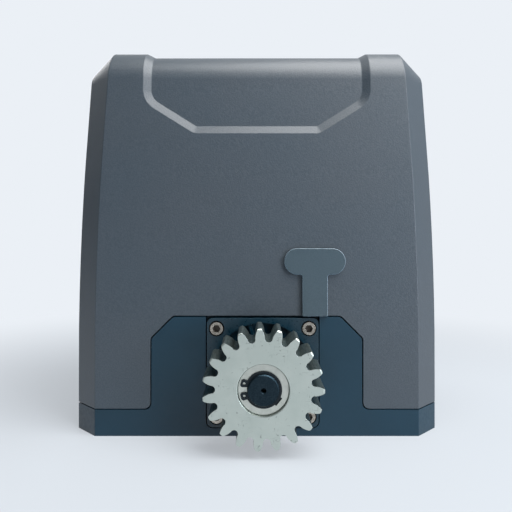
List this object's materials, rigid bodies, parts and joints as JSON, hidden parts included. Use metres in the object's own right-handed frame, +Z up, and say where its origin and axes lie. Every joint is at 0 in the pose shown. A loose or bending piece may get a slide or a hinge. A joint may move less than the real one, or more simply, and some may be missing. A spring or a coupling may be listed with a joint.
{
  "type": "sliding gate motor",
  "caption": "Sliding gate motor: upright motor with worm gearbox on a die-cast base, rack pinion at the front, control board and manual release under a moulded cover.",
  "frame": {"origin": "middle of the base's flat underside", "axes": "+X to the right seen from the pinion side, +Y away from the pinion side, +Z up out of the base"},
  "size_m": [0.282, 0.252, 0.2994],
  "materials": {
    "cover_plastic": "fine-grained moulded plastic",
    "plug_plastic": "fine-grained moulded plastic",
    "base_paint": "textured paint on die-cast aluminium",
    "flange_casting": "die-cast, painted grey",
    "gearbox_aluminium": "die-cast, as cast",
    "zinc_steel": "zinc plated, satin",
    "washer_steel": "zinc plated",
    "shaft_steel": "hardened, blackened",
    "black_steel": "phosphated spring steel",
    "screw_steel": "zinc plated",
    "bearing_steel": "ground",
    "bronze": "cast bronze, machined",
    "rubber_black": "moulded nitrile rubber",
    "gasket_fibre": "pressed fibre",
    "lamination_steel": "stacked sheet steel",
    "winding_copper": "enamelled copper wire",
    "board_green": "solder-resisted laminate",
    "component_black": "moulded component case",
    "terminal_green": "moulded terminal block",
    "relay_blue": "moulded relay case",
    "fuse_glass": "moulded fuse holder",
    "tray_plastic": "moulded plastic",
    "button_red": "moulded plastic",
    "button_white": "moulded plastic",
    "capacitor_white": "plastic can",
    "lever_plastic": "glass-filled nylon"
  },
  "bodies": {
    "base": {"base_housing": "base_paint", "board_screws": "screw_steel", "board_tray": "tray_plastic", "button_bodies": "component_black", "cable_grommet": "rubber_black", "capacitor_clip": "screw_steel", "control_board": "board_green", "cover_screws": "screw_steel", "end_cap_bolts": "screw_steel", "filter_capacitor": "component_black", "flange_gasket": "gasket_fibre", "flange_screws": "screw_steel", "front_bearing_outer": "bearing_steel", "fuse_holder": "fuse_glass", "gearbox_flange": "flange_casting", "gearbox_lid": "gearbox_aluminium", "lever_pin": "screw_steel", "lid_gasket": "gasket_fibre", "lid_screws": "screw_steel", "limit_sensor": "component_black", "motor_end_cap": "gearbox_aluminium", "motor_shell": "gearbox_aluminium", "motor_top_bearing_outer": "bearing_steel", "rear_bearing_outer": "bearing_steel", "receiver_module": "component_black", "relays": "relay_blue", "run_capacitor": "capacitor_white", "sensor_bracket": "screw_steel", "shaft_seal": "rubber_black", "stator_core": "lamination_steel", "stator_windings": "winding_copper", "terminal_blocks": "terminal_green", "transformer_coil": "winding_copper", "transformer_core": "lamination_steel", "worm_lower_bearing_outer": "bearing_steel", "worm_upper_bearing_outer": "bearing_steel"},
    "output": {"pinion": "zinc_steel", "thrust_washer": "washer_steel", "circlip": "black_steel", "output_shaft": "shaft_steel", "pinion_key": "shaft_steel", "wheel_key": "shaft_steel", "spacer_sleeve": "screw_steel", "rear_spacer": "screw_steel", "worm_wheel": "bronze", "front_bearing_inner": "bearing_steel", "rear_bearing_inner": "bearing_steel"},
    "rotor": {"worm_shaft": "shaft_steel", "rotor_core": "lamination_steel", "worm_lower_bearing_inner": "bearing_steel", "worm_upper_bearing_inner": "bearing_steel", "motor_top_bearing_inner": "bearing_steel"},
    "cover": {"cover_shell": "cover_plastic", "slot_plug": "plug_plastic"},
    "lever": {"release_lever": "lever_plastic"},
    "rod": {"release_rod": "screw_steel"},
    "lock": {"lock_barrel": "screw_steel"},
    "program_button": {"program_button": "button_red"},
    "reset_button": {"reset_button": "button_white"}
  },
  "joints": [
    {"name": "rotor_spin", "type": "hinge", "parent": "base", "child": "rotor", "pos_m": [-0.0405, -0.02, 0.1], "axis": [0, 0, 1], "continuous": true},
    {"name": "output_spin", "type": "hinge", "parent": "base", "child": "output", "pos_m": [0.0045, 0, 0.0476], "axis": [0, 1, 0], "continuous": true},
    {"name": "cover_lift", "type": "slide", "parent": "base", "child": "cover", "axis": [0, 0, 1], "range_m": [0, 0.3]},
    {"name": "lever_swing", "type": "hinge", "parent": "base", "child": "lever", "pos_m": [0.0045, 0.1, 0.0476], "axis": [0, 0, 1], "range_deg": [0, 90]},
    {"name": "rod_push", "type": "slide", "parent": "base", "child": "rod", "axis": [0, -1, 0], "range_m": [0, 0.0051]},
    {"name": "lock_turn", "type": "hinge", "parent": "lever", "child": "lock", "pos_m": [0.0485, 0.1, 0.0476], "axis": [0, -1, 0], "range_deg": [0, 90]},
    {"name": "program_press", "type": "slide", "parent": "base", "child": "program_button", "axis": [0, 0, -1], "range_m": [0, 0.0003], "stiffness_N_per_m": 500},
    {"name": "reset_press", "type": "slide", "parent": "base", "child": "reset_button", "axis": [0, 0, -1], "range_m": [0, 0.0003], "stiffness_N_per_m": 500}
  ],
  "couplings": [
    {"joint": "output_spin", "follows": "rotor_spin", "ratio": -0.035714},
    {"joint": "rod_push", "follows": "lever_swing", "m_per_rad": 0.0031831}
  ]
}
